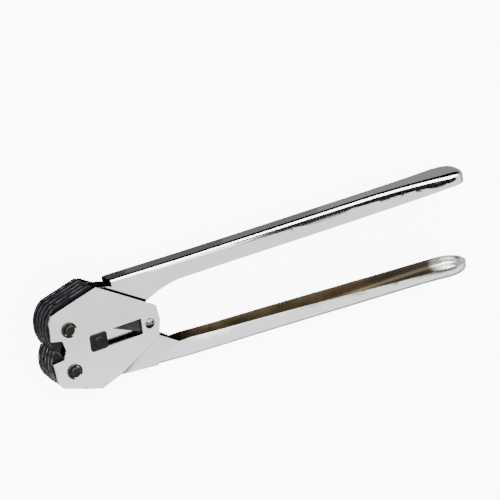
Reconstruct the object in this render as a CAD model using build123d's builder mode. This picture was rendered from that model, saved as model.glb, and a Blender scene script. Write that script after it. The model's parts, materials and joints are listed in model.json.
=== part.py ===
from build123d import *
import os

# Hand sealer for strapping, closed, lying on its side. Millimetres, +Z up.
# Origin: axis of the rear rivet, on the flat end of its far-side head.
# Head positions are given as (u, v) from the point midway between the jaw pins.

# --- head layout ---
PIVOT_U = 64.0
JAW_PIN_V = 16.0
CENTRE_U = 22.0
HEAD_UNDER = 2.0
PLATE_T = 2.0
INNER_W = 21.2
NEAR_OUT = HEAD_UNDER + 2 * PLATE_T + INNER_W
MID_Z = HEAD_UNDER + PLATE_T + INNER_W / 2
SLOT_U0, SLOT_U1, SLOT_HALF_V = 16.0, 57.5, 6.0

# --- laminated jaws ---
LAMINATION = 2.8
NOTCHER = 1.5
PITCH = LAMINATION + NOTCHER
PIN_R = 4.0
RUN = 0.05
TAIL_U, TAIL_V = 10.0, 29.5
TAIL_PIN_R = 2.2

# --- linkage ---
DRIVE_U, DRIVE_V = 13.5, 11.0
LINK_T = 2.4
LINK_EYE_R = 5.9
TUBE_R = 5.0
RIVET_R = 3.0
DRIVE_PIN_R = 2.4
LINK_SLACK = 1.85
TOGGLE_SLACK = 1.25
TOGGLE_EYE_R = 4.8
TOGGLE_HUB_R = 6.6

# --- handles ---
WALL = 1.2
UPPER_HALF = 7.05
LOWER_WALL = 1.5

# --- trim on the near side ---
CLIP_T = 1.1
CLIP_GAP = 0.25
PIN_STUB = 2.7
BLOCK_SIDE = 11.8
FLANGE_U, FLANGE_V, FLANGE_T = 13.6, 12.8, 0.9

os.makedirs("parts", exist_ok=True)


def at(u, v):
    return (u - PIVOT_U, v)


def layer(number):
    """Underside of lamination 1 to 5, counted from the far side plate."""
    return MID_Z + (number - 3) * PITCH - LAMINATION / 2


def flipped(points):
    return [(u, -v) for u, v in points]


def outline(points, z):
    with BuildSketch(Plane.XY.offset(z)) as shape:
        with BuildLine():
            Polyline([at(u, v) for u, v in points], close=True)
        make_face()
    return shape.sketch


def cross_section(u, low, high, half, radius, closed_below):
    """A closed handle section; the two corners on its closed side are rounded."""
    with BuildSketch(Plane.YZ.offset(u - PIVOT_U)) as shape:
        with Locations(((low + high) / 2, MID_Z)):
            Rectangle(high - low, 2 * half)
        fillet(shape.vertices().group_by(Axis.X)[0 if closed_below else -1], radius=radius)
    return shape.sketch


def hollow_rows(rows, wall, closed_below):
    """The inside of a run of sections, carried on past the open rim."""
    inner = []
    for u, low, high, half, radius in rows:
        bottom = low + wall if closed_below else low - 6
        top = high + 6 if closed_below else high - wall
        inner.append((u, bottom, top, half - wall, max(radius - wall, 0.6)))
    return inner


# ------------------------------------------------------------------ lower handle and side plates
PLATE_REAR = [(19.8, -35.9), (35.6, -30.4), (69.9, -11.1), (72.4, 0.5), (70.8, 11.7)]
NEAR_PLATE = [
    (25.5, 40.5), (15.0, 37.8), (-6.5, 32.2), (-12.2, 30.2), (-14.8, 24.6), (-15.0, 11.5),
    (-6.3, 9.4), (-4.3, 1.4), (-6.8, -5.1), (-15.6, -5.8), (-14.9, -12.0), (-13.6, -22.0),
    (-10.3, -26.0),
] + PLATE_REAR
FAR_PLATE = [
    (29.5, 37.7), (25.5, 40.2), (15.0, 36.8), (-5.6, 30.8), (-10.4, 28.4), (-12.7, 23.4), (-12.9, 11.5),
    (-6.3, 9.4), (-4.3, 1.4), (-6.8, -5.1), (-12.6, -5.6), (-12.4, -12.0), (-11.0, -21.0),
    (-6.6, -25.0),
] + PLATE_REAR
# u, underside, rim, half width, corner radius
LOWER_GRIP = [
    (96.0, -37.7, -23.2, 7.5, 3.0), (130.0, -39.0, -25.7, 8.0, 3.4), (180.0, -40.9, -28.8, 9.1, 4.0),
    (240.0, -43.3, -33.0, 10.6, 4.6), (290.0, -45.1, -36.6, 12.4, 5.0), (311.0, -46.4, -38.2, 13.2, 5.0),
]
LOWER_NECK = [(44.0, -33.8, -24.0, 7.5, 3.0), LOWER_GRIP[0]]
LOWER_NOSE = [
    LOWER_GRIP[-1], (318.5, -46.6, -38.7, 12.3, 5.0), (323.7, -46.4, -39.0, 9.7, 4.4),
    (326.8, -45.8, -39.2, 6.4, 3.4), (328.4, -45.0, -39.3, 3.4, 2.2),
]
LOWER_NOSE_HOLLOW = [
    LOWER_GRIP[-1], (318.0, -46.5, -38.7, 12.2, 5.0), (322.6, -46.2, -39.0, 9.8, 4.4),
    (325.4, -45.6, -39.2, 6.8, 3.4), (326.9, -44.8, -39.3, 4.2, 2.6),
]
# the walls leave the side plates along one slanting line and reach the channel along another
FLARE_ROOT = [(35.56, -30.36), (69.86, -11.04)]
FLARE_END = [(68.0, -35.6), (87.5, -23.2)]
NECK_CUT = [(40.0, -32.4), (60.0, -33.8), (67.6, -33.9), (86.0, -22.4), (90.0, -16.0), (40.0, -16.0)]


def flare(outer_root, inner_root, outer_end, inner_end):
    """One flared wall between a side plate and a channel wall."""
    faces = []
    for line, z_out, z_in in ((FLARE_ROOT, outer_root, inner_root), (FLARE_END, outer_end, inner_end)):
        (u0, v0), (u1, v1) = line
        corners = [(*at(u0, v0), z_out), (*at(u1, v1), z_out), (*at(u1, v1), z_in), (*at(u0, v0), z_in)]
        faces.append(Face(Wire.make_polygon(corners)))
    return Solid.make_loft([face.outer_wire() for face in faces], ruled=True)


with BuildPart() as lower_handle:
    for rows in (LOWER_NECK, LOWER_GRIP, LOWER_NOSE):
        loft([cross_section(*row, closed_below=True) for row in rows])
    for rows in (LOWER_NECK, LOWER_GRIP, LOWER_NOSE_HOLLOW):
        inner = hollow_rows(rows, LOWER_WALL, closed_below=True)
        loft([cross_section(*row, closed_below=True) for row in inner], mode=Mode.SUBTRACT)
    extrude(outline(NECK_CUT, 0), amount=2 * MID_Z, mode=Mode.SUBTRACT)
    for side in (1, -1):
        add(flare(MID_Z + side * (INNER_W / 2 + PLATE_T), MID_Z + side * INNER_W / 2,
                  MID_Z + side * LOWER_GRIP[0][3], MID_Z + side * (LOWER_GRIP[0][3] - LOWER_WALL)))
    for plate, z_low in ((FAR_PLATE, HEAD_UNDER), (NEAR_PLATE, NEAR_OUT - PLATE_T)):
        extrude(outline(plate, z_low), amount=PLATE_T)
        with BuildSketch(Plane.XY.offset(z_low)):
            with Locations(at((SLOT_U0 + SLOT_U1) / 2, 0)):
                RectangleRounded(SLOT_U1 - SLOT_U0, 2 * SLOT_HALF_V, 0.7)
            with Locations(at(0, JAW_PIN_V), at(0, -JAW_PIN_V)):
                Circle(PIN_R)
            with Locations(at(PIVOT_U, 0)):
                Circle(RIVET_R)
        extrude(amount=PLATE_T, mode=Mode.SUBTRACT)
lower_handle.part.label = "lower_handle"
export_step(lower_handle.part, "parts/lower_handle.step")

# ------------------------------------------------------------------ upper handle
# u, rim, crown, half width, corner radius
UPPER_GRIP = [
    (95.0, 22.6, 37.6, UPPER_HALF, 3.4), (140.0, 21.9, 36.5, 7.1, 3.7), (187.0, 21.0, 35.5, 7.25, 4.0),
    (240.0, 20.2, 34.4, 7.5, 4.3),
]
UPPER_NECK = [(41.0, 30.0, 39.2, UPPER_HALF, 3.2), UPPER_GRIP[0]]
UPPER_END = [
    UPPER_GRIP[-1], (265.0, 20.1, 33.8, 7.9, 4.4), (290.0, 20.5, 32.9, 9.4, 4.7),
    (316.0, 21.9, 31.9, 12.2, 5.6),
]
UPPER_NOSE = [
    UPPER_END[-1], (324.0, 21.8, 31.4, 11.9, 5.6), (329.8, 21.3, 30.6, 9.5, 5.0),
    (333.3, 20.8, 29.1, 6.2, 4.0), (335.0, 20.5, 27.3, 3.4, 2.6),
]
UPPER_NOSE_HOLLOW = [
    UPPER_END[-1], (323.5, 21.8, 31.4, 11.8, 5.6), (328.9, 21.3, 30.5, 9.6, 5.0),
    (332.1, 20.8, 28.8, 6.6, 4.0), (333.6, 20.5, 26.9, 4.2, 2.8),
]
CHEEK = [
    (27.0, 37.6), (38.6, 35.0), (43.0, 33.0), (95.0, 31.0), (95.0, 22.6), (88.0, 22.0), (78.0, 19.6),
    (66.5, 14.9), (57.5, 9.5), (52.5, 3.0), (52.0, -5.5), (50.0, -7.5), (46.0, -8.0), (22.0, -8.0),
    (17.5, -6.6), (14.8, -3.5), (14.2, 1.0), (22.5, 30.0),
]

with BuildPart() as upper_handle:
    for rows in (UPPER_NECK, UPPER_GRIP, UPPER_END, UPPER_NOSE):
        loft([cross_section(*row, closed_below=False) for row in rows])
    for rows in (UPPER_NECK, UPPER_GRIP, UPPER_END, UPPER_NOSE_HOLLOW):
        inner = hollow_rows(rows, WALL, closed_below=False)
        loft([cross_section(*row, closed_below=False) for row in inner], mode=Mode.SUBTRACT)
    for z_low in (MID_Z - UPPER_HALF, MID_Z + UPPER_HALF - WALL):
        extrude(outline(CHEEK, z_low), amount=WALL)
        with BuildSketch(Plane.XY.offset(z_low)):
            with Locations(at(CENTRE_U, 0)):
                Circle(PIN_R + RUN)
            with Locations(at(CENTRE_U + DRIVE_U, DRIVE_V)):
                Circle(DRIVE_PIN_R)
        extrude(amount=WALL, mode=Mode.SUBTRACT)
upper_handle.part.label = "upper_handle"
export_step(upper_handle.part, "parts/upper_handle.step")

# ------------------------------------------------------------------ jaws
JAW_FRONT = [
    (-12.2, 3.2), (-14.2, 7.2), (-15.9, 12.4), (-16.3, 18.0), (-15.5, 24.0), (-12.6, 30.0), (-7.8, 34.9),
]
JAW_BACK = [
    (20.6, 42.3), (22.8, 41.3), (24.2, 39.2), (24.4, 36.5), (20.0, 26.0), (14.0, 18.6), (9.4, 13.4),
    (7.6, 10.6),
    (4.6, 8.6), (0.5, 7.8), (-3.6, 8.4), (-6.0, 5.0), (-8.2, -0.1),
]
LOWER_FRONT = [
    (-12.4, 3.05), (-15.2, -2.8), (-16.2, -8.2), (-16.0, -13.6), (-14.2, -19.0), (-9.8, -24.4), (-4.0, -28.4),
]
LOWER_BACK = [(10.0, -34.0), (13.6, -33.4), (15.8, -30.6)] + flipped(JAW_BACK[5:-1]) + [(-8.2, -0.22)]
NOTCHER_FRONT = [
    (-9.6, 2.2), (-12.0, 6.0), (-13.6, 11.5), (-13.7, 17.5), (-11.6, 23.0), (-8.0, 27.0), (-3.4, 28.4),
]
NOTCHER_BACK = [
    (1.5, 27.0), (5.6, 22.0), (7.6, 15.0), (6.6, 10.6), (3.4, 8.6), (0.0, 8.2), (-3.8, 8.8), (-6.6, 5.2),
]
TOGGLE_PATH = [(4.4, 27.4), (13.0, 3.2), (40.0, 3.2), (40.0, 35.8), (10.0, 35.7)]
STACK_RIVET_U, STACK_RIVET_V, STACK_RIVET_R = -7.0, 22.5, 1.6


def curved_outline(front, back, z):
    """A lamination outline: a smooth front, then straight runs round the back."""
    with BuildSketch(Plane.XY.offset(z)) as shape:
        with BuildLine():
            Spline(*[at(u, v) for u, v in front])
            Polyline([at(u, v) for u, v in [front[-1]] + back + [front[0]]])
        make_face()
    return shape.sketch


def toggle_room(side, z):
    """The part of a lamination left out so that a toggle can swing in its place."""
    path = TOGGLE_PATH if side > 0 else flipped(TOGGLE_PATH)
    with BuildSketch(Plane.XY.offset(z)) as shape:
        with BuildLine():
            Polyline([at(u, v) for u, v in path], close=True)
        make_face()
        with Locations(at(TAIL_U, side * TAIL_V)):
            Circle(TOGGLE_EYE_R + TOGGLE_SLACK + 0.15)
    return shape.sketch


for side, name, front, back, room_layers, tail_layers in (
    (1, "upper", JAW_FRONT, JAW_BACK, (3,), (2, 4)),
    (-1, "lower", LOWER_FRONT, LOWER_BACK, (2, 4), (1, 3, 5)),
):
    for number in range(1, 6):
        z_low = layer(number)
        with BuildPart() as lamination:
            extrude(curved_outline(front, back, z_low), amount=LAMINATION)
            if number in room_layers:
                extrude(toggle_room(side, z_low), amount=LAMINATION, mode=Mode.SUBTRACT)
            with BuildSketch(Plane.XY.offset(z_low)):
                with Locations(at(0, side * JAW_PIN_V)):
                    Circle(PIN_R + RUN)
                with Locations(at(STACK_RIVET_U, side * STACK_RIVET_V)):
                    Circle(STACK_RIVET_R)
                if number in tail_layers:
                    with Locations(at(TAIL_U, side * TAIL_V)):
                        Circle(TAIL_PIN_R)
            extrude(amount=LAMINATION, mode=Mode.SUBTRACT)
        lamination.part.label = f"{name}_jaw_plate_{number}"
        export_step(lamination.part, f"parts/{name}_jaw_plate_{number}.step")

    notcher_front = NOTCHER_FRONT if side > 0 else flipped(NOTCHER_FRONT)
    notcher_back = NOTCHER_BACK if side > 0 else flipped(NOTCHER_BACK)
    for number in range(1, 5):
        z_low = layer(number) + LAMINATION
        with BuildPart() as notcher:
            extrude(curved_outline(notcher_front, notcher_back, z_low), amount=NOTCHER)
            with BuildSketch(Plane.XY.offset(z_low)):
                with Locations(at(0, side * JAW_PIN_V)):
                    Circle(PIN_R + RUN)
                with Locations(at(STACK_RIVET_U, side * STACK_RIVET_V)):
                    Circle(STACK_RIVET_R)
            extrude(amount=NOTCHER, mode=Mode.SUBTRACT)
        notcher.part.label = f"{name}_notcher_{number}"
        export_step(notcher.part, f"parts/{name}_notcher_{number}.step")

    with BuildPart() as stack_rivet:
        with BuildSketch(Plane.XY.offset(layer(1))):
            with Locations(at(STACK_RIVET_U, side * STACK_RIVET_V)):
                Circle(STACK_RIVET_R)
        extrude(amount=layer(5) + LAMINATION - layer(1))
    stack_rivet.part.label = f"{name}_stack_rivet"
    export_step(stack_rivet.part, f"parts/{name}_stack_rivet.step")

    first, last = tail_layers[0], tail_layers[-1]
    with BuildPart() as tail_pin:
        with BuildSketch(Plane.XY.offset(layer(first))):
            with Locations(at(TAIL_U, side * TAIL_V)):
                Circle(TAIL_PIN_R)
        extrude(amount=layer(last) + LAMINATION - layer(first))
    tail_pin.part.label = f"{name}_tail_pin"
    export_step(tail_pin.part, f"parts/{name}_tail_pin.step")

# ------------------------------------------------------------------ toggles and drive links


def bar(start, start_r, start_hole, end, end_r, end_hole, z):
    """A flat link: two round eyes joined by their outer tangents."""
    with BuildSketch(Plane.XY.offset(z)) as shape:
        with Locations(at(*start)):
            Circle(start_r)
        with Locations(at(*end)):
            Circle(end_r)
        make_hull()
        with Locations(at(*start)):
            Circle(start_hole, mode=Mode.SUBTRACT)
        with Locations(at(*end)):
            Circle(end_hole, mode=Mode.SUBTRACT)
    return shape.sketch


for side, name, rows in (
    (1, "upper", ((layer(3) - 1.3, LAMINATION + 2.6),)),
    (-1, "lower", ((layer(2) + 0.2, LINK_T), (layer(4) + 0.2, LINK_T))),
):
    for number, (z_low, thickness) in enumerate(rows, start=1):
        with BuildPart() as toggle:
            face = bar((CENTRE_U, 0), TOGGLE_HUB_R, PIN_R + RUN,
                       (TAIL_U, side * TAIL_V), TOGGLE_EYE_R, TAIL_PIN_R + TOGGLE_SLACK, z_low)
            extrude(face, amount=thickness)
        toggle.part.label = f"{name}_toggle_{number}"
        export_step(toggle.part, f"parts/{name}_toggle_{number}.step")

for name, z_low in (("far", layer(1) + 0.2), ("near", layer(5) + 0.2)):
    with BuildPart() as link:
        face = bar((PIVOT_U, 0), 7.4, TUBE_R + RUN,
                   (CENTRE_U + DRIVE_U, DRIVE_V), LINK_EYE_R, DRIVE_PIN_R + LINK_SLACK, z_low)
        extrude(face, amount=LINK_T)
    link.part.label = f"{name}_drive_link"
    export_step(link.part, f"parts/{name}_drive_link.step")

with BuildPart() as drive_pin:
    with BuildSketch(Plane.XY.offset(layer(1) - 0.2)):
        with Locations(at(CENTRE_U + DRIVE_U, DRIVE_V)):
            Circle(DRIVE_PIN_R)
    extrude(amount=layer(5) + LAMINATION - layer(1) + 0.4)
drive_pin.part.label = "drive_pin"
export_step(drive_pin.part, "parts/drive_pin.step")

# ------------------------------------------------------------------ sliding blocks and centre pin
for name, z_face, outward in (("far", HEAD_UNDER, -1), ("near", NEAR_OUT, 1)):
    with BuildPart() as block:
        with BuildSketch(Plane.XY.offset(z_face - outward * (PLATE_T + 0.3))):
            with Locations(at(CENTRE_U, 0)):
                RectangleRounded(BLOCK_SIDE, BLOCK_SIDE, 1.4)
        extrude(amount=outward * (PLATE_T + 0.4))
        with BuildSketch(Plane.XY.offset(z_face + outward * 0.1)):
            with Locations(at(CENTRE_U, 0)):
                RectangleRounded(FLANGE_U, FLANGE_V, 2.0)
        extrude(amount=outward * FLANGE_T)
        rim = block.faces().sort_by(Axis.Z)[0 if name == "far" else -1].outer_wire().edges()
        chamfer(rim, length=0.35)
        with BuildSketch(Plane.XY.offset(z_face - outward * (PLATE_T + 0.3))):
            with Locations(at(CENTRE_U, 0)):
                Circle(PIN_R)
        extrude(amount=outward * (PLATE_T + 0.4 + FLANGE_T), mode=Mode.SUBTRACT)
    block.part.label = f"{name}_slide_block"
    export_step(block.part, f"parts/{name}_slide_block.step")

with BuildPart() as centre_pin:
    with BuildSketch(Plane.XY.offset(HEAD_UNDER - 1.4)):
        with Locations(at(CENTRE_U, 0)):
            Circle(PIN_R)
    extrude(amount=NEAR_OUT + 1.6 - (HEAD_UNDER - 1.4))
    chamfer(centre_pin.edges().group_by(Axis.Z)[-1], length=0.7)
    chamfer(centre_pin.edges().group_by(Axis.Z)[0], length=0.5)
centre_pin.part.label = "centre_pin"
export_step(centre_pin.part, "parts/centre_pin.step")

# ------------------------------------------------------------------ jaw pins, clips, rear rivet, stop
GROOVE_R = 3.1
CLIP_Z = NEAR_OUT + CLIP_GAP

for side, name, clip_turn in ((1, "upper", -35.0), (-1, "lower", -70.0)):
    with BuildPart() as jaw_pin:
        with BuildSketch(Plane.XY):
            with Locations(at(0, side * JAW_PIN_V)):
                Circle(6.4)
        extrude(amount=HEAD_UNDER)
        chamfer(jaw_pin.edges().group_by(Axis.Z)[-1], length=0.5)
        with BuildSketch(Plane.XY.offset(HEAD_UNDER)):
            with Locations(at(0, side * JAW_PIN_V)):
                Circle(PIN_R)
        extrude(amount=NEAR_OUT + PIN_STUB - HEAD_UNDER)
        chamfer(jaw_pin.edges().group_by(Axis.Z)[-1], length=0.7)
        with BuildSketch(Plane.XY.offset(CLIP_Z - 0.05)):
            with Locations(at(0, side * JAW_PIN_V)):
                Circle(PIN_R + 1)
                Circle(GROOVE_R, mode=Mode.SUBTRACT)
        extrude(amount=CLIP_T + 0.1, mode=Mode.SUBTRACT)
    jaw_pin.part.label = f"{name}_jaw_pin"
    export_step(jaw_pin.part, f"parts/{name}_jaw_pin.step")

    with BuildPart() as clip:
        with BuildSketch(Plane.XY.offset(CLIP_Z)):
            with Locations(Location((*at(0, side * JAW_PIN_V), 0), (0, 0, clip_turn))):
                Circle(5.7)
                Circle(4.5, mode=Mode.SUBTRACT)
                with PolarLocations(0, 3, start_angle=60):
                    with Locations((4.1, 0)):
                        Rectangle(2.6, 2.8)
                Circle(GROOVE_R, mode=Mode.SUBTRACT)
                with Locations((6.0, 0)):
                    Rectangle(8.0, 5.8, mode=Mode.SUBTRACT)
        extrude(amount=CLIP_T)
    clip.part.label = f"{name}_e_clip"
    export_step(clip.part, f"parts/{name}_e_clip.step")

with BuildPart() as spacer_tube:
    with BuildSketch(Plane.XY.offset(HEAD_UNDER + PLATE_T)):
        Circle(TUBE_R)
        Circle(RIVET_R, mode=Mode.SUBTRACT)
    extrude(amount=INNER_W)
spacer_tube.part.label = "spacer_tube"
export_step(spacer_tube.part, "parts/spacer_tube.step")

DOME_R, DOME_H = 3.9, 2.2
DOME_SPHERE = (DOME_R ** 2 + DOME_H ** 2) / (2 * DOME_H)

with BuildPart() as rear_rivet:
    with Locations((0, 0, NEAR_OUT + DOME_H - DOME_SPHERE)):
        Sphere(DOME_SPHERE)
    split(bisect_by=Plane.XY.offset(NEAR_OUT), keep=Keep.TOP)
    with BuildSketch(Plane.XY):
        Circle(5.2)
    extrude(amount=HEAD_UNDER)
    with BuildSketch(Plane.XY.offset(HEAD_UNDER)):
        Circle(RIVET_R)
    extrude(amount=NEAR_OUT - HEAD_UNDER)
rear_rivet.part.label = "rear_rivet"
export_step(rear_rivet.part, "parts/rear_rivet.step")

with BuildPart() as strap_stop:
    with BuildSketch(Plane.XY.offset(HEAD_UNDER + PLATE_T)):
        with Locations(at(4.6, 0)):
            RectangleRounded(6.4, 9.6, 0.6)
    extrude(amount=INNER_W)
strap_stop.part.label = "strap_stop"
export_step(strap_stop.part, "parts/strap_stop.step")
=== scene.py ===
import bpy
import json
import math
from mathutils import Matrix, Vector

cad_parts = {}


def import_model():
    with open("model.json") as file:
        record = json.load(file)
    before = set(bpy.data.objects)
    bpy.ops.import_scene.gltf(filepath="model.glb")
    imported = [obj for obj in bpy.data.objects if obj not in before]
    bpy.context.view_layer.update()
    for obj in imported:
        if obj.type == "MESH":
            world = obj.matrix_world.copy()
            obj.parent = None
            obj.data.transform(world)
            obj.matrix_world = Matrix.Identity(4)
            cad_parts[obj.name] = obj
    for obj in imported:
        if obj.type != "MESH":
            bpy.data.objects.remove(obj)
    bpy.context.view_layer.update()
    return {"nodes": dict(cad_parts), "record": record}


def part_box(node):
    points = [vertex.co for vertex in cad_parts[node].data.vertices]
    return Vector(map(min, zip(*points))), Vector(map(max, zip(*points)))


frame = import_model()
NODES = frame["nodes"]

MM = 0.001

# The middle of the tool's thickness, from the frame.
SHEET_LOW, SHEET_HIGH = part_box("lower_handle")
MID_Z = (SHEET_LOW.z + SHEET_HIGH.z) / 2

# Where the inside of the folded sheet changes along X: black painted shade in the head, between the plates,
# a brown film painted darker as shade along the grip, darker towards the end, plain metal at the end.
HEAD_FADE = (0.028, 0.060)
DARK_FADE = (0.182, 0.200)
END_FADE = (0.241, 0.254)
# Where the painted light on the outside of the lower handle and its side plates fades, in Y: paler and
# cooler below.
PAINTED_LIGHT_FADE = (-0.022, 0.004)
# The sloping rear edge of the near side plate, where the upper handle comes out from behind it; the plate's
# painted shadow runs along it.
PLATE_REAR_EDGE = ((-0.0385, 0.0405), (0.0068, 0.0117))

# Sockets of the Mix node when it mixes colours.
MIX_A, MIX_B, MIX_RESULT = 6, 7, 2


# ------------------------------------------------------------------ node helpers
class Graph:
    """Short calls for building a node material."""

    def __init__(self, name):
        self.material = bpy.data.materials.new(name)
        self.material.use_nodes = True
        self.nodes = self.material.node_tree.nodes
        self.links = self.material.node_tree.links
        self.shader = self.nodes["Principled BSDF"]

    def add(self, kind, **settings):
        node = self.nodes.new(kind)
        for key, value in settings.items():
            setattr(node, key, value)
        return node

    def link(self, source, target):
        self.links.new(source, target)

    def feed(self, socket, value):
        if isinstance(value, bpy.types.NodeSocket):
            self.link(value, socket)
        else:
            socket.default_value = value

    def drive(self, **sources):
        """Links sources to the shader's sockets; an underscore stands for a space."""
        for name, source in sources.items():
            self.link(source, self.shader.inputs[name.replace("_", " ")])

    def settle(self, **values):
        """Sets constant values on the shader's sockets; an underscore stands for a space."""
        for name, value in values.items():
            self.shader.inputs[name.replace("_", " ")].default_value = value

    def math(self, operation, first, second=0.0):
        node = self.add("ShaderNodeMath", operation=operation)
        self.feed(node.inputs[0], first)
        self.feed(node.inputs[1], second)
        return node.outputs[0]

    def along(self, axis, kind="Object"):
        """One component of the surface point, or of its normal, in the tool's own frame."""
        coords = self.add("ShaderNodeTexCoord")
        split = self.add("ShaderNodeSeparateXYZ")
        self.link(coords.outputs[kind], split.inputs[0])
        return split.outputs[axis]

    def noise(self, scale, stretch=(1.0, 1.0, 1.0), detail=4.0, roughness=0.55):
        coords = self.add("ShaderNodeTexCoord")
        mapping = self.add("ShaderNodeMapping")
        mapping.inputs["Scale"].default_value = stretch
        self.link(coords.outputs["Object"], mapping.inputs["Vector"])
        node = self.add("ShaderNodeTexNoise")
        node.inputs["Scale"].default_value = scale
        node.inputs["Detail"].default_value = detail
        node.inputs["Roughness"].default_value = roughness
        self.link(mapping.outputs["Vector"], node.inputs["Vector"])
        return node.outputs["Fac"]

    def ramp(self, factor, stops):
        """A colour ramp; each stop is a place from 0 to 1 and a colour."""
        node = self.add("ShaderNodeValToRGB")
        elements = node.color_ramp.elements
        while len(elements) < len(stops):
            elements.new(0.5)
        for element, (place, colour) in zip(elements, stops):
            element.position = place
            element.color = (*colour, 1.0)
        self.feed(node.inputs["Fac"], factor)
        return node.outputs["Color"]

    def grey(self, factor, low, high, start=0.3, end=0.7):
        """Maps start..end onto low..high and holds the value outside that range."""
        node = self.add("ShaderNodeMapRange", clamp=True)
        self.feed(node.inputs["Value"], factor)
        node.inputs["From Min"].default_value = start
        node.inputs["From Max"].default_value = end
        node.inputs["To Min"].default_value = low
        node.inputs["To Max"].default_value = high
        return node.outputs["Result"]

    def fade(self, axis, start, end):
        """0 before the first place along an axis, 1 past the second."""
        return self.grey(self.along(axis), 0.0, 1.0, start=start, end=end)

    def mix(self, factor, first, second):
        node = self.add("ShaderNodeMix", data_type="RGBA")
        self.feed(node.inputs["Factor"], factor)
        self.feed(node.inputs[MIX_A], first)
        self.feed(node.inputs[MIX_B], second)
        return node.outputs[MIX_RESULT]

    def bump(self, height, strength, distance):
        node = self.add("ShaderNodeBump")
        node.inputs["Strength"].default_value = strength
        node.inputs["Distance"].default_value = distance
        self.feed(node.inputs["Height"], height)
        self.drive(Normal=node.outputs["Normal"])


# ------------------------------------------------------------------ plated sheet
# What a channel's inner web faces in Y. The rivet has no fold: a large value takes in its whole lower half,
# which gets the fold's dark inside colour as painted shade.
OPEN_ABOVE, OPEN_BELOW, RIVET_SHADED_HALF = 1.0, -1.0, -9.0

# Inside the fold: a brown film painted darker as shade, and black painted shade in the head.
BROWN_DARK, BROWN_LIGHT = (0.060, 0.044, 0.024), (0.125, 0.092, 0.052)
HEAD_SHADE = (0.010, 0.007, 0.004, 1.0)
INNER_DARK = (0.062, 0.049, 0.033, 1.0)
INNER_CLEAN = (0.86, 0.86, 0.84, 1.0)
# Painted shadow: the near side plate's shadow, a dark line on the upper handle's cheek along its rear edge.
PLATE_SHADOW = (0.006, 0.006, 0.005, 1.0)
PAINTED_LIGHT_PLATING = (0.97, 0.98, 1.0, 1.0)


def inside_mask(g, web_side):
    """1 on the inner faces of a folded sheet: walls that face the middle, and the inner web."""
    offset = g.math("SUBTRACT", g.along("Z"), MID_Z)
    outward = g.math("MULTIPLY", g.math("SIGN", offset), g.along("Z", "Normal"))
    wall = g.math("LESS_THAN", outward, -0.35)
    web = g.math("GREATER_THAN", g.math("MULTIPLY", g.along("Y", "Normal"), web_side), 0.8)
    return g.math("MAXIMUM", wall, web)


def plate_shadow_mask(g):
    """1 on the strip of the upper handle's cheek along the side plate's rear edge, where the plate's shadow
    is painted.
    """
    start, end = (Vector(point) for point in PLATE_REAR_EDGE)
    edge = (end - start).normalized()
    past_x = g.math("MULTIPLY", g.math("SUBTRACT", g.along("X"), start.x), -edge.y)
    past_y = g.math("MULTIPLY", g.math("SUBTRACT", g.along("Y"), start.y), edge.x)
    distance = g.math("ADD", past_x, past_y)
    strip = g.grey(distance, 1.0, 0.0, start=1.1 * MM, end=1.5 * MM)
    not_deep = g.math("GREATER_THAN", distance, -6.0 * MM)
    near_side = g.math("GREATER_THAN", g.along("Z"), MID_Z + 5.0 * MM)
    return g.math("MULTIPLY", g.math("MULTIPLY", strip, not_deep), near_side)


def inner_film_and_shade(g, clean_end):
    """Colour inside the fold: black painted shade, brown film painted darker as shade, darker still, then
    plain metal.
    """
    film_and_shade = g.ramp(g.noise(55.0, detail=6.0), [(0.35, BROWN_DARK), (0.65, BROWN_LIGHT)])
    # Painted shade: black inside the head, between the plates.
    film_and_shade = g.mix(g.fade("X", *HEAD_FADE), HEAD_SHADE, film_and_shade)
    film_and_shade = g.mix(g.fade("X", *DARK_FADE), film_and_shade, INNER_DARK)
    return g.mix(clean_end, film_and_shade, INNER_CLEAN)


def chrome(name, tint, rough, grain, web_side, painted_light_below=False, painted_plate_shadow=False):
    """Plated sheet: polished or satin outside; inside the fold duller and warmer, a brown film painted
    darker as shade.
    """
    g = Graph(name)
    inside = inside_mask(g, web_side)
    clean_end = g.fade("X", *END_FADE)
    outside = g.ramp(g.noise(38.0, detail=5.0), [(0.3, tuple(c * 0.93 for c in tint)), (0.7, tint)])
    # Painted light: the lower part of the outside is painted paler and cooler.
    if painted_light_below:
        outside = g.mix(g.fade("Y", *PAINTED_LIGHT_FADE), PAINTED_LIGHT_PLATING, outside)
    # Painted shadow of the near side plate's rear edge on the upper handle's cheek.
    if painted_plate_shadow:
        outside = g.mix(plate_shadow_mask(g), outside, PLATE_SHADOW)
    brushed = g.noise(900.0, stretch=grain, detail=3.0, roughness=0.6)
    smudge = g.grey(g.noise(22.0, detail=6.0, roughness=0.65), *rough)
    polished = g.math("ADD", smudge, g.grey(brushed, -0.02, 0.03))
    filmed = g.math("MULTIPLY", inside, g.grey(clean_end, 0.55, 0.16, start=0.0, end=1.0))
    g.drive(Base_Color=g.mix(inside, outside, inner_film_and_shade(g, clean_end)),
            Roughness=g.math("MAXIMUM", polished, filmed))
    g.settle(Metallic=1.0)
    g.bump(brushed, 0.06, 0.2 * MM)
    return g.material


# ------------------------------------------------------------------ steel
def oxide(name, dark, light, rough, metal):
    """Black oxide steel: uneven colour, oily gloss and faint tool marks."""
    g = Graph(name)
    marks = g.noise(1400.0, stretch=(0.15, 1.0, 1.0), detail=3.0)
    g.drive(Base_Color=g.ramp(g.noise(120.0, detail=6.0), [(0.3, dark), (0.72, light)]),
            Roughness=g.grey(g.noise(140.0, detail=5.0), rough, rough + 0.16))
    g.settle(Metallic=metal, Specular_IOR_Level=0.25)
    g.bump(marks, 0.25, 0.1 * MM)
    return g.material


def bare_steel(name, low, high, rough):
    """Bare metal where oxide or plating has rubbed off an edge."""
    g = Graph(name)
    patches = g.noise(260.0, detail=5.0)
    g.drive(Base_Color=g.ramp(patches, [(0.42, low), (0.6, high)]),
            Roughness=g.grey(patches, rough + 0.1, rough))
    g.settle(Metallic=1.0)
    return g.material


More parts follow.
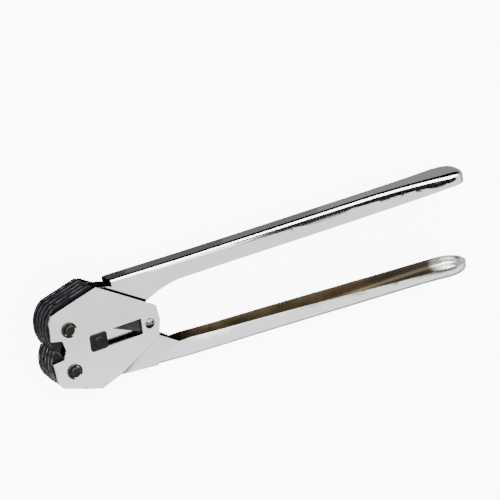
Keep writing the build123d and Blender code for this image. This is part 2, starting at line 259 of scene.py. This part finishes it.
LENGTHWISE, EVEN = (0.05, 1.0, 1.0), (1.0, 1.0, 1.0)
SHELL = chrome("plated_shell", tint=(0.86, 0.86, 0.845), rough=(0.20, 0.30), grain=LENGTHWISE,
               web_side=OPEN_ABOVE, painted_light_below=True)
BRIGHT = chrome("bright_chrome", tint=(0.93, 0.92, 0.90), rough=(0.05, 0.11), grain=LENGTHWISE,
                web_side=OPEN_BELOW, painted_plate_shadow=True)
RIVET = chrome("rivet_chrome", tint=(0.15, 0.15, 0.16), rough=(0.12, 0.20), grain=EVEN,
               web_side=RIVET_SHADED_HALF)
JAW = oxide("jaw_oxide", (0.002, 0.0025, 0.003), (0.010, 0.011, 0.013), rough=0.34, metal=0.4)
NOTCH = oxide("notcher_steel", (0.001, 0.001, 0.001), (0.004, 0.004, 0.004), rough=0.55, metal=0.2)
PIN = oxide("pin_oxide", (0.004, 0.004, 0.003), (0.022, 0.020, 0.016), rough=0.20, metal=0.6)
BLOCK = oxide("block_oxide", (0.003, 0.003, 0.002), (0.014, 0.014, 0.012), rough=0.28, metal=0.5)
LINK = oxide("link_steel", (0.02, 0.02, 0.02), (0.07, 0.07, 0.07), rough=0.26, metal=0.9)
WORN = bare_steel("worn_edge", (0.008, 0.008, 0.010), (0.12, 0.12, 0.13), rough=0.22)
# Rubbed edge steel painted bright: a painted highlight on the pins' rims and the lower jaw's edges.
HIGHLIGHT_EDGE = bare_steel("highlight_edge", (0.05, 0.05, 0.055), (0.48, 0.48, 0.50), rough=0.18)
SHINY = bare_steel("rubbed_rim", (0.35, 0.35, 0.35), (0.75, 0.75, 0.75), rough=0.14)


def dress(node, material, edge, wear):
    """Gives a CAD node its material and, if it has an edge material, a fine worn bevel in millimetres."""
    target = NODES[node]
    target.data.materials.clear()
    target.data.materials.append(material)
    if edge is None:
        return
    target.data.materials.append(edge)
    weld = target.modifiers.new("weld", "WELD")
    weld.merge_threshold = 0.001 * MM
    bevel = target.modifiers.new("edge_wear", "BEVEL")
    bevel.width = wear * MM
    bevel.segments = 2
    bevel.limit_method = "ANGLE"
    bevel.angle_limit = math.radians(40.0)
    bevel.material = 1
    bevel.harden_normals = True


# Material slot: the material, its edge's material and the width of the worn edge.
FINISHES = {
    "plated_shell": (SHELL, SHINY, 0.18),
    "bright_chrome": (BRIGHT, SHINY, 0.15),
    "rivet_chrome": (RIVET, None, 0.0),
    "black_jaw_steel": (JAW, WORN, 0.22),
    "dark_notcher_steel": (NOTCH, None, 0.0),
    "dark_block_steel": (BLOCK, WORN, 0.15),
    # The pins' rims take the bright edge steel: a painted highlight.
    "black_pin_steel": (PIN, HIGHLIGHT_EDGE, 0.14),
    "dark_link_steel": (LINK, WORN, 0.15),
}
for entry in frame["record"]["subparts"]:
    material, edge, wear = FINISHES[entry["material_slot"]]
    # The lower jaw's edges are painted brighter than the upper's: a painted highlight on their rubbed
    # edges.
    if entry["node"].startswith("lower_jaw_plate"):
        edge = HIGHLIGHT_EDGE
    dress(entry["node"], material, edge, wear)


# ------------------------------------------------------------------ floor, cards and light
def rectangle(name, size):
    """A flat rectangle that faces up, as a stage object, and the graph of its matt material."""
    half_x, half_y = size[0] / 2, size[1] / 2
    corners = [(-half_x, -half_y, 0), (half_x, -half_y, 0), (half_x, half_y, 0), (-half_x, half_y, 0)]
    mesh = bpy.data.meshes.new(name)
    mesh.from_pydata(corners, [], [(0, 1, 2, 3)])
    board = bpy.data.objects.new(name, mesh)
    bpy.context.collection.objects.link(board)
    g = Graph(name)
    g.settle(Specular_IOR_Level=0.0, Emission_Color=(1, 1, 1, 1))
    mesh.materials.append(g.material)
    return board, g


def aim_z(thing, direction):
    """Turns an object so that its own Z points along a direction."""
    thing.rotation_mode = "QUATERNION"
    thing.rotation_quaternion = Vector(direction).to_track_quat("Z", "Y")


def floor(size, drop, glow):
    plane, g = rectangle("floor", (size, size))
    plane.location = (0, 0, -drop)
    plane.visible_glossy = False
    g.drive(Base_Color=g.ramp(g.noise(1.5, detail=2.0), [(0.3, (0.90,) * 3), (0.7, (0.92,) * 3)]))
    g.settle(Roughness=0.9, Emission_Strength=glow)


def card(name, centre, size, facing, glow):
    """A flat studio card that only reflections see; its glow is its whole tone."""
    board, g = rectangle(name, size)
    board.location = centre
    board.visible_camera = False
    board.visible_shadow = False
    board.visible_diffuse = False
    aim_z(board, facing)
    g.settle(Base_Color=(0, 0, 0, 1), Roughness=1.0, Emission_Strength=glow)


def world(strength):
    sky = bpy.data.worlds.new("studio")
    sky.use_nodes = True
    background = sky.node_tree.nodes["Background"]
    background.inputs["Color"].default_value = (1, 1, 1, 1)
    background.inputs["Strength"].default_value = strength
    bpy.context.scene.world = sky


def area_light(name, place, target, side, power):
    """A square soft light that reflections don't see."""
    data = bpy.data.lights.new(name, "AREA")
    data.shape = "RECTANGLE"
    data.size = data.size_y = side
    data.energy = power
    lamp = bpy.data.objects.new(name, data)
    bpy.context.collection.objects.link(lamp)
    lamp.location = place
    lamp.visible_glossy = False
    aim_z(lamp, Vector(place) - Vector(target))


floor(size=12.0, drop=0.2 * MM, glow=9.0)
world(strength=1.45)
MIDDLE = (0.09, 0.0, 0.015)
area_light("key", (-0.9, 1.1, 1.9), MIDDLE, side=1.2, power=14.0)
area_light("fill", (1.2, -1.2, 1.8), MIDDLE, side=1.6, power=12.0)

UP, DOWN, TO_FRONT, TO_BACK = (0, 0, 1), (0, 0, -1), (0, -1, 0), (0, 1, 0)
card("floor_bounce", (0.0, 0.0, 0.0), (12.0, 12.0), UP, 0.55)
# The crown of the upper handle shows the floor right beside it, paler towards the grip.
GREY_BOUNCES = (  # middle in X, width, glow
    (-0.04, 0.08, 0.07),
    (0.04, 0.08, 0.13),
    (0.12, 0.08, 0.20),
    (0.28, 0.24, 0.30),
)
for number, (middle_x, width, glow) in enumerate(GREY_BOUNCES):
    card(f"grey_bounce_{number}", (middle_x, 0.048, 0.3 * MM), (width, 0.032), UP, glow)
# Its round shoulder shows black floor, then a white wall and ceiling, then a dark flag over the grip.
card("black_floor", (0.9, 0.782, 0.3 * MM), (5.0, 1.436), UP, 0.0)
card("black_skirt", (1.2, 1.5, 0.26), (6.0, 0.52), TO_FRONT, 0.0)
card("white_wall", (1.2, 1.5, 1.67), (6.0, 2.26), TO_FRONT, 9.0)
card("white_ceiling", (1.7, 0.45, 2.8), (2.0, 2.1), DOWN, 3.6)
card("dark_over_grip", (0.62, 0.100, 0.5), (0.60, 0.52), DOWN, 0.0)
card("dark_front", (1.2, -2.5, 0.45), (6.0, 0.8), TO_BACK, 0.0)

# ------------------------------------------------------------------ camera
CAMERA_RIGHT = Vector((0.852, -0.125, 0.508))
CAMERA_UP = Vector((0.299, 0.914, -0.276))
DISTANCE = 6.0
SENSOR = 36.0
FIELD = 0.3508
HEAD_MIDDLE = Vector((-0.064, 0.0, 0.0272))  # between the jaw pins, on the near side plate
AIM = HEAD_MIDDLE + 0.12497 * CAMERA_RIGHT + 0.07075 * CAMERA_UP


def camera():
    data = bpy.data.cameras.new("camera")
    data.sensor_width = SENSOR
    data.lens = SENSOR * DISTANCE / FIELD
    data.clip_start, data.clip_end = 0.1, 60.0
    eye = bpy.data.objects.new("camera", data)
    bpy.context.collection.objects.link(eye)
    right = CAMERA_RIGHT.normalized()
    back = right.cross(CAMERA_UP).normalized()
    up = back.cross(right)
    turn = Matrix((right, up, back)).transposed()
    eye.matrix_world = Matrix.Translation(AIM + back * DISTANCE) @ turn.to_4x4()
    bpy.context.scene.camera = eye


camera()
